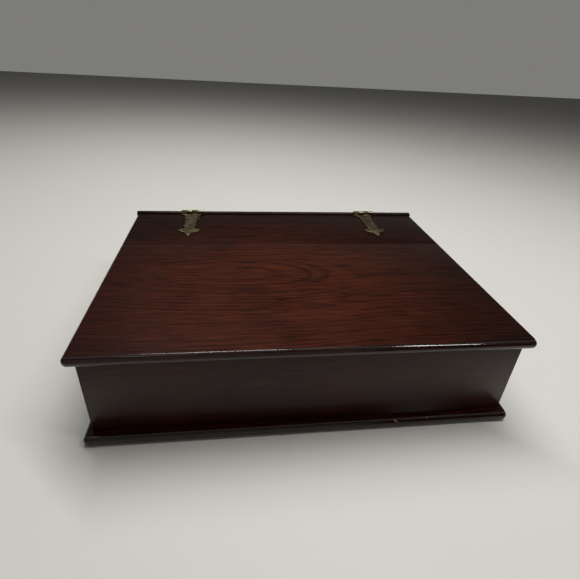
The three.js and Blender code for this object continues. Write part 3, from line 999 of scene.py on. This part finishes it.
def turned(profile, segments):
    """A closed solid turned about Z from (radius, height) points that start and end on the axis."""
    bm = bmesh.new()
    start = bm.verts.new((0, 0, profile[0][1]))
    finish = bm.verts.new((0, 0, profile[-1][1]))
    rings = []
    for radius, height in profile[1:-1]:
        ring = []
        for i in range(segments):
            angle = 2 * math.pi * i / segments
            ring.append(bm.verts.new((radius * math.cos(angle), radius * math.sin(angle), height)))
        rings.append(ring)
    skin(bm, rings)
    for i in range(segments):
        j = (i + 1) % segments
        bm.faces.new((start, rings[0][j], rings[0][i]))
        bm.faces.new((rings[-1][i], rings[-1][j], finish))
    return bm


def screw_profile():
    profile = list(SCREW_POINT)
    for i in range(THREAD_TURNS):
        root = THREAD_START + i * THREAD_PITCH
        profile += [(THREAD_ROOT, root), (THREAD_CREST, root + THREAD_FLANK)]
    profile += SCREW_NECK
    for i in range(1, DOME_STEPS):
        t = i / DOME_STEPS
        height = SCREW_RIM + (SCREW_DOME - SCREW_RIM) * math.sin(QUARTER * t)
        profile.append((SCREW_HEAD * (1 - t), height))
    profile.append((0, SCREW_DOME))
    return profile


def screw(name, node, clocking, body, material):
    """A slotted, oval-headed wood screw, in the lid or in the back panel as its node's box lies."""
    low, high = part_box(node)
    middle = (low + high) / 2
    obj = link_mesh(name, turned(screw_profile(), ROUND_SEGMENTS), THREAD_SMOOTH)
    bm = bmesh.new()
    bmesh.ops.create_cube(bm, size=1.0)
    bmesh.ops.scale(bm, vec=SLOT_SIZE, verts=bm.verts)
    bmesh.ops.translate(bm, vec=(0, 0, SLOT_HEIGHT), verts=bm.verts)
    carve(obj, link_mesh(name + "_slot", bm), "DIFFERENCE")
    turn = Matrix.Rotation(clocking, 4, "Z")
    if high.z - low.z > high.x - low.x:
        seat = Matrix.Translation((middle.x, middle.y, LID_TOP + LEAF)) @ turn
    else:
        tip = Matrix.Rotation(-QUARTER, 4, "X")
        seat = Matrix.Translation((middle.x, BACK_Y + LEAF, middle.z)) @ tip @ turn
    obj.data.transform(seat)
    return finish_piece(resharpen(obj, SCREW_SMOOTH), material, body, "screw_brass", node)


def hinge_pin(name, node, material):
    low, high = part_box(node)
    half = (high.x - low.x) / 2
    radius = (high.z - low.z) / 2
    lower = [(share * radius, -(half - back * radius)) for share, back in PIN_END]
    upper = [(r, -height) for r, height in lower[::-1]]
    profile = [(0, -half), *lower, *upper, (0, half)]
    obj = link_mesh(name, turned(profile, ROUND_SEGMENTS), ROUND_SMOOTH)
    along = Matrix.Rotation(QUARTER, 4, "Y")
    obj.data.transform(Matrix.Translation((low + high) / 2) @ along)
    return finish_piece(obj, material, "case", "hinge_brass", node)


# ---------------------------------------------------------------- building

# Front and back arris of each sawn board.
LID_FRONT_ARRISES = (0.1 * MM, 0.12 * MM)
LID_BACK_ARRISES = (0.12 * MM, 1.0 * MM)
BASE_ARRISES = (0.1 * MM, 0.4 * MM)

# Slot angles, in radians: a start, the step from screw to screw, and what the right hinge adds.
LID_CLOCKING = (0.7, 1.1, 0.6)
BACK_CLOCKING = (0.3, 0.8, 0.9)


def build_boards():
    """The lid's two boards, the rail and the base board."""
    eye = Figure((-0.070, LID_FRONT_Y + 0.137), 0.0, 1.4, 5.8 * MM)
    far_rings = Figure((0.35, LID_FRONT_Y + 0.30), 0.03, 0.15, 3.8 * MM)
    rail_rings = Figure((0.1, BACK_Y + 0.09), 0.03, 0.1, 3.0 * MM)
    base_rings = Figure((0.2, 0.02), 0.04, 0.3, 3.5 * MM)
    # Both lid boards get the dark rim and the painted pool of light.
    lid = {"front_y": LID_FRONT_Y, "painted_light_pool": True}
    lid_front = wood("lid_front_wood", ALONG_X_FLAT, eye, 1.7, rings=0.3, marks=True, **lid)
    lid_back = wood("lid_back_wood", ALONG_X_FLAT, far_rings, 6.1, tone=0.85, **lid)
    rail = wood("rail_wood", ALONG_X_FLAT, rail_rings, 3.3, tone=0.35, coat=0.12)
    base = wood("base_wood", ALONG_X_FLAT, base_rings, 9.2, tone=0.5, coat=0.4, front_y=BASE_FRONT_Y)
    polished = {"tone": 0.3, "rings": 0.2, "coat": 1.0, "polish": 0.06}
    edge = wood("edge_wood", ALONG_X_FLAT, base_rings, 5.2, chips=True, **polished)
    for side, arrises, material in (
        ("front", LID_FRONT_ARRISES, lid_front),
        ("back", LID_BACK_ARRISES, lid_back),
    ):
        node = f"lid_board_{side}"
        moulded_board(f"lid_{side}", node, LID_FRONT_Y, arrises, material, edge, "lid", "lid_wood")
    hinge_rail("rail", "back_rail", rail)
    moulded_board("base", "base_board", BASE_FRONT_Y, BASE_ARRISES, base, edge, "case", "case_wood")


def build_walls():
    """Four walls, mitred at the corners, as long as the front panel's node and out to the case's back."""
    front_rings = Figure((0.06, 0.05), 0.18, 0.4, 3.4 * MM)
    back_rings = Figure((-0.1, 0.03), 0.18, 0.3, 3.6 * MM)
    side_rings = Figure((0.03, 0.08), 0.2, 0.5, 3.4 * MM)
    plain = {"tone": 0.5, "coat": 0.5}
    front = wood("front_wood", ALONG_X_UPRIGHT, front_rings, 4.4, rings=0.2, polish=0.3, **plain)
    back = wood("back_wood", ALONG_X_UPRIGHT, back_rings, 7.9, rings=0.25, **plain)
    sides = wood("side_wood", ALONG_Y_UPRIGHT, side_rings, 2.6, rings=0.25, **plain)
    low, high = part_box("front_panel")
    wall = high.y - low.y
    corners = []
    for x, front_y, back_y in ((high.x, low.y, BACK_Y), (high.x - wall, low.y + wall, BACK_Y - wall)):
        corners.append(((-x, front_y), (x, front_y), (x, back_y), (-x, back_y)))
    outer, inner = corners
    walls = (("front", 0, front), ("left", 3, sides), ("right", 1, sides), ("back", 2, back))
    for side, i, material in walls:
        j = (i + 1) % len(outer)
        panel(side, f"{side}_panel", (outer[i], outer[j], inner[j], inner[i]), material)


def clocking(angles, k, side):
    first, step, more = angles
    return first + step * k + more * (side == "right")


def build_hinges():
    plate = brass("plate_brass", STRAP_BRASS, 0.46, 0.0)
    dark = brass("dark_brass", SCREW_BRASS, 0.5, 0.31)
    for side in ("left", "right"):
        lid_at = []
        back_at = []
        for k in (1, 2):
            lid_node = f"{side}_lid_screw_{k}"
            back_node = f"{side}_back_screw_{k}"
            drop = RAIL_HIGH.z - BEND_INNER - middle_of(back_node, Z)
            lid_at.append(HINGE_Y - middle_of(lid_node, Y))
            back_at.append(BACK_Y - HINGE_Y - BEND_INNER + BEND_LENGTH + drop)
            screw(f"{side}_lid_fixing_{k}", lid_node, clocking(LID_CLOCKING, k, side), "lid", dark)
            screw(f"{side}_back_fixing_{k}", back_node, clocking(BACK_CLOCKING, k, side), "case", dark)
        lid_leaf = f"{side}_hinge_lid_leaf"
        back_leaf = f"{side}_hinge_back_leaf"
        leaf_piece(f"{side}_strap_lid", side, (0, 2), False, "lid", lid_at, plate, lid_leaf)
        leaf_piece(f"{side}_strap_back", side, (1, 3), True, "case", back_at, plate, back_leaf)
        hinge_pin(f"{side}_pin", f"{side}_hinge_pin", dark)


# ---------------------------------------------------------------- floor and light

FLOOR_HALF = 4.0
FLOOR_CELLS = 8
FLOOR_DARK = rgb(0.70, 0.685, 0.63)
FLOOR_LIGHT = rgb(0.74, 0.725, 0.67)

# Name, place, target, size in metres and power in watts.
SOFTBOXES = (
    ("overhead", (-0.1, 0.3, 1.7), (0.0, 0.0, 0.0), (1.4, 0.9), 6.5),
    ("strip", (0.3, 0.2, 1.5), (0.1, 0.0, 0.0), (2.4, 0.08), 23.0),
    ("fill", (-0.6, -1.6, 0.9), (0.0, 0.0, 0.05), (3.0, 2.0), 3.5),
)

# The room is bright behind the case and low down. Each row gives an axis of the view direction, the
# stretch of it over which the light changes, and the light at both ends.
ROOM_SPANS = (("Y", -0.25, 0.45, 0.0, 1.0), ("Z", 0.14, 0.42, 1.0, 0.0))
ROOM_DIM = rgb(0.032, 0.031, 0.029)
ROOM_BRIGHT = rgb(0.205, 0.202, 0.19)


def build_stage():
    bm = bmesh.new()
    bmesh.ops.create_grid(bm, x_segments=FLOOR_CELLS, y_segments=FLOOR_CELLS, size=FLOOR_HALF)
    floor = link_mesh("floor", bm)
    g = Graph("pale_floor")
    place = g.node("ShaderNodeTexCoord").outputs["Object"]
    mottle = g.noise(place, scale=3.0, detail=5, roughness=0.6)
    floor.data.materials.append(g.shade({
        "Base Color": g.blend(mottle, FLOOR_DARK, FLOOR_LIGHT),
        "Roughness": 0.5,
        "IOR": 1.45,
        "Specular IOR Level": 0.25,
    }))
    SCENE.world = studio()
    for box in SOFTBOXES:
        softbox(*box)


def studio():
    """A plain grey room: light behind the case up to head height, dim overhead and towards the front."""
    world = bpy.data.worlds.new("studio")
    world.use_nodes = True
    tree = world.node_tree
    way = tree.nodes.new("ShaderNodeSeparateXYZ")
    tree.links.new(tree.nodes.new("ShaderNodeTexCoord").outputs["Generated"], way.inputs[0])
    both = tree.nodes.new("ShaderNodeMath")
    both.operation = "MULTIPLY"
    for socket, (axis, *numbers) in zip(both.inputs, ROOM_SPANS):
        made = tree.nodes.new("ShaderNodeMapRange")
        made.interpolation_type = "SMOOTHSTEP"
        tree.links.new(way.outputs[axis], made.inputs[0])
        for bound, number in zip(made.inputs[1:5], numbers):
            bound.default_value = number
        tree.links.new(made.outputs[0], socket)
    mix = tree.nodes.new("ShaderNodeMix")
    mix.data_type = "RGBA"
    tree.links.new(both.outputs[0], mix.inputs[0])
    mix.inputs[6].default_value = ROOM_DIM
    mix.inputs[7].default_value = ROOM_BRIGHT
    tree.links.new(mix.outputs[2], tree.nodes["Background"].inputs["Color"])
    return world


def softbox(name, at, target, size, power):
    data = bpy.data.lights.new(name, "AREA")
    data.shape = "RECTANGLE"
    data.size, data.size_y = size
    data.energy = power
    lamp = bpy.data.objects.new(name, data)
    lamp.location = at
    lamp.rotation_euler = (Vector(target) - Vector(at)).to_track_quat("-Z", "Y").to_euler()
    SCENE.collection.objects.link(lamp)


make_camera()
build_boards()
build_walls()
build_hinges()
build_stage()
SCENE.view_settings.view_transform = "Standard"
